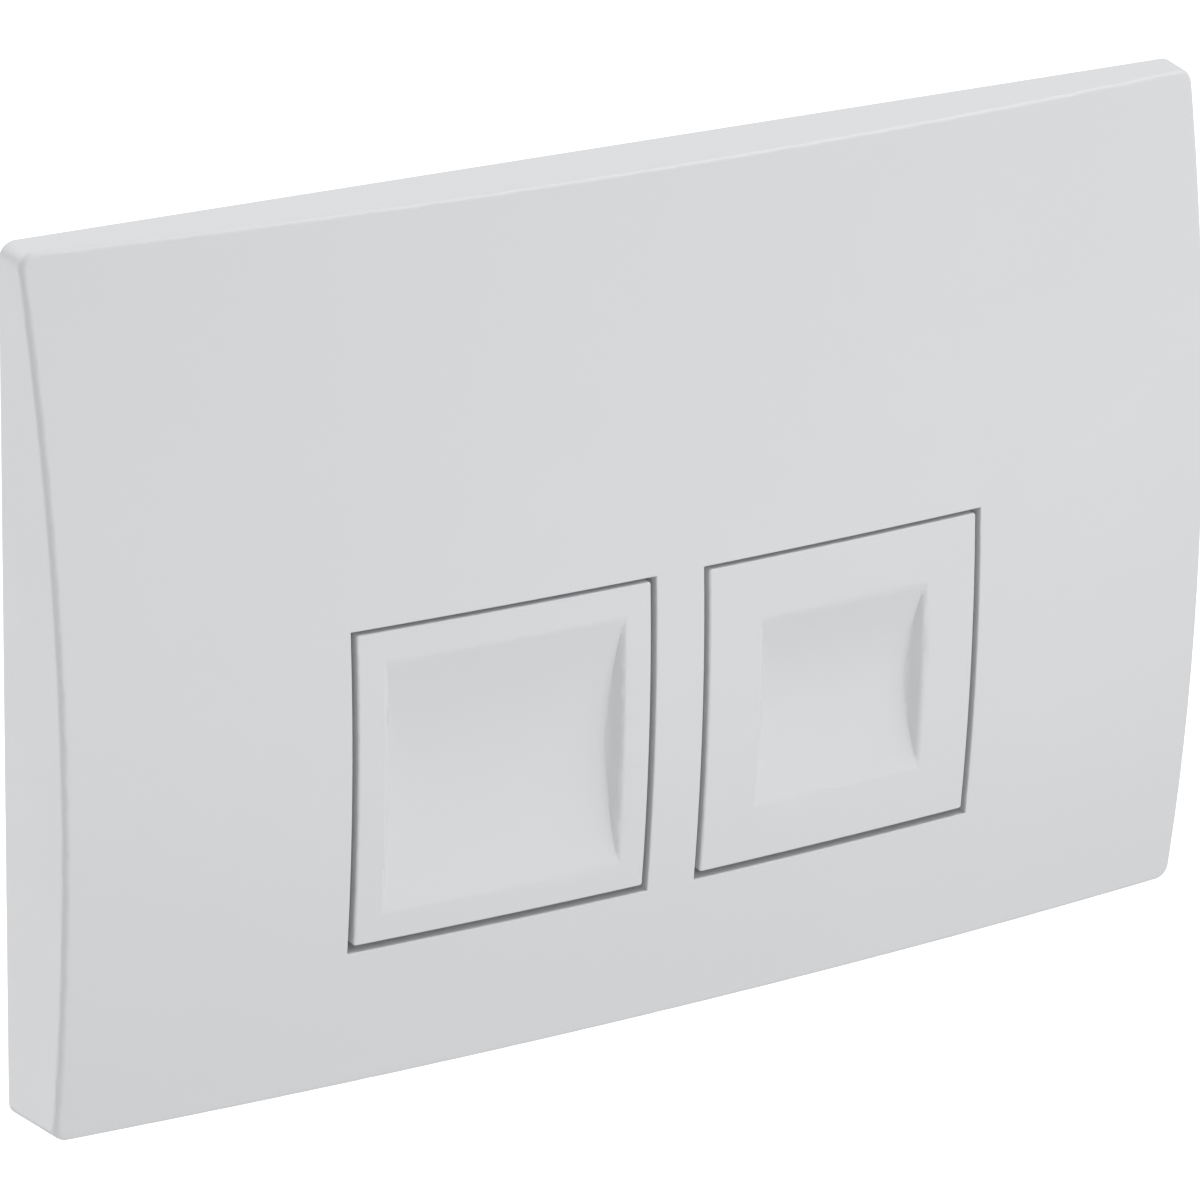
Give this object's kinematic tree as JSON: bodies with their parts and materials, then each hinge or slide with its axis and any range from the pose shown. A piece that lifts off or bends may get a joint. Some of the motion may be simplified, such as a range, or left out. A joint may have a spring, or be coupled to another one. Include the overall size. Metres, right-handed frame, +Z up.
{
  "type": "flush button plate",
  "caption": "Rectangular white wall plate with a gently curved face and square hinged flush buttons, each with a dished finger field, on a frame with push rods for a concealed cistern.",
  "frame": {"origin": "on the wall plane, midway between the fixing bolts, at the middle of the plate", "axes": "+Z up, +Y into the wall, +X to the right seen from the front"},
  "size_m": [0.246, 0.074, 0.164],
  "materials": {
    "white_plastic": "smooth satin white moulding",
    "grey_plastic": "fine matt light grey moulding",
    "rod_plastic": "natural white moulding",
    "dark_plastic": "matt black moulding",
    "bright_steel": "drawn stainless wire",
    "zinc_steel": "zinc plated"
  },
  "bodies": {
    "plate": {"cover_plate": "white_plastic", "mounting_frame": "grey_plastic", "full_rod_guide": "grey_plastic", "half_rod_guide": "grey_plastic", "full_hinge_pin": "bright_steel", "half_hinge_pin": "bright_steel", "full_return_spring": "bright_steel", "half_return_spring": "bright_steel", "left_fixing_bolt": "zinc_steel", "right_fixing_bolt": "zinc_steel", "left_fixing_washer": "zinc_steel", "right_fixing_washer": "zinc_steel", "left_fixing_nut": "dark_plastic", "right_fixing_nut": "dark_plastic"},
    "full_button": {"full_flush_button": "white_plastic"},
    "full_rod": {"full_push_rod": "rod_plastic", "full_adjusting_screw": "rod_plastic", "full_lock_nut": "zinc_steel"},
    "half_button": {"half_flush_button": "white_plastic"},
    "half_rod": {"half_push_rod": "rod_plastic", "half_adjusting_screw": "rod_plastic", "half_lock_nut": "zinc_steel"}
  },
  "joints": [
    {"name": "full_button_hinge", "type": "hinge", "parent": "plate", "child": "full_button", "pos_m": [-0.036, -0.0164, 0.003], "axis": [1, 0, 0], "range_deg": [0, 5], "stiffness_Nm_per_rad": 2, "springref_deg": -6.3},
    {"name": "full_rod_slide", "type": "slide", "parent": "plate", "child": "full_rod", "axis": [0, 1, 0], "range_m": [0, 0.0038], "deforming": ["full_return_spring"]},
    {"name": "half_button_hinge", "type": "hinge", "parent": "plate", "child": "half_button", "pos_m": [0.036, -0.0164, 0.003], "axis": [1, 0, 0], "range_deg": [0, 5], "stiffness_Nm_per_rad": 2, "springref_deg": -6.3},
    {"name": "half_rod_slide", "type": "slide", "parent": "plate", "child": "half_rod", "axis": [0, 1, 0], "range_m": [0, 0.0038], "deforming": ["half_return_spring"]}
  ],
  "couplings": [
    {"joint": "full_rod_slide", "follows": "full_button_hinge", "m_per_rad": 0.042945},
    {"joint": "half_rod_slide", "follows": "half_button_hinge", "m_per_rad": 0.042945}
  ]
}
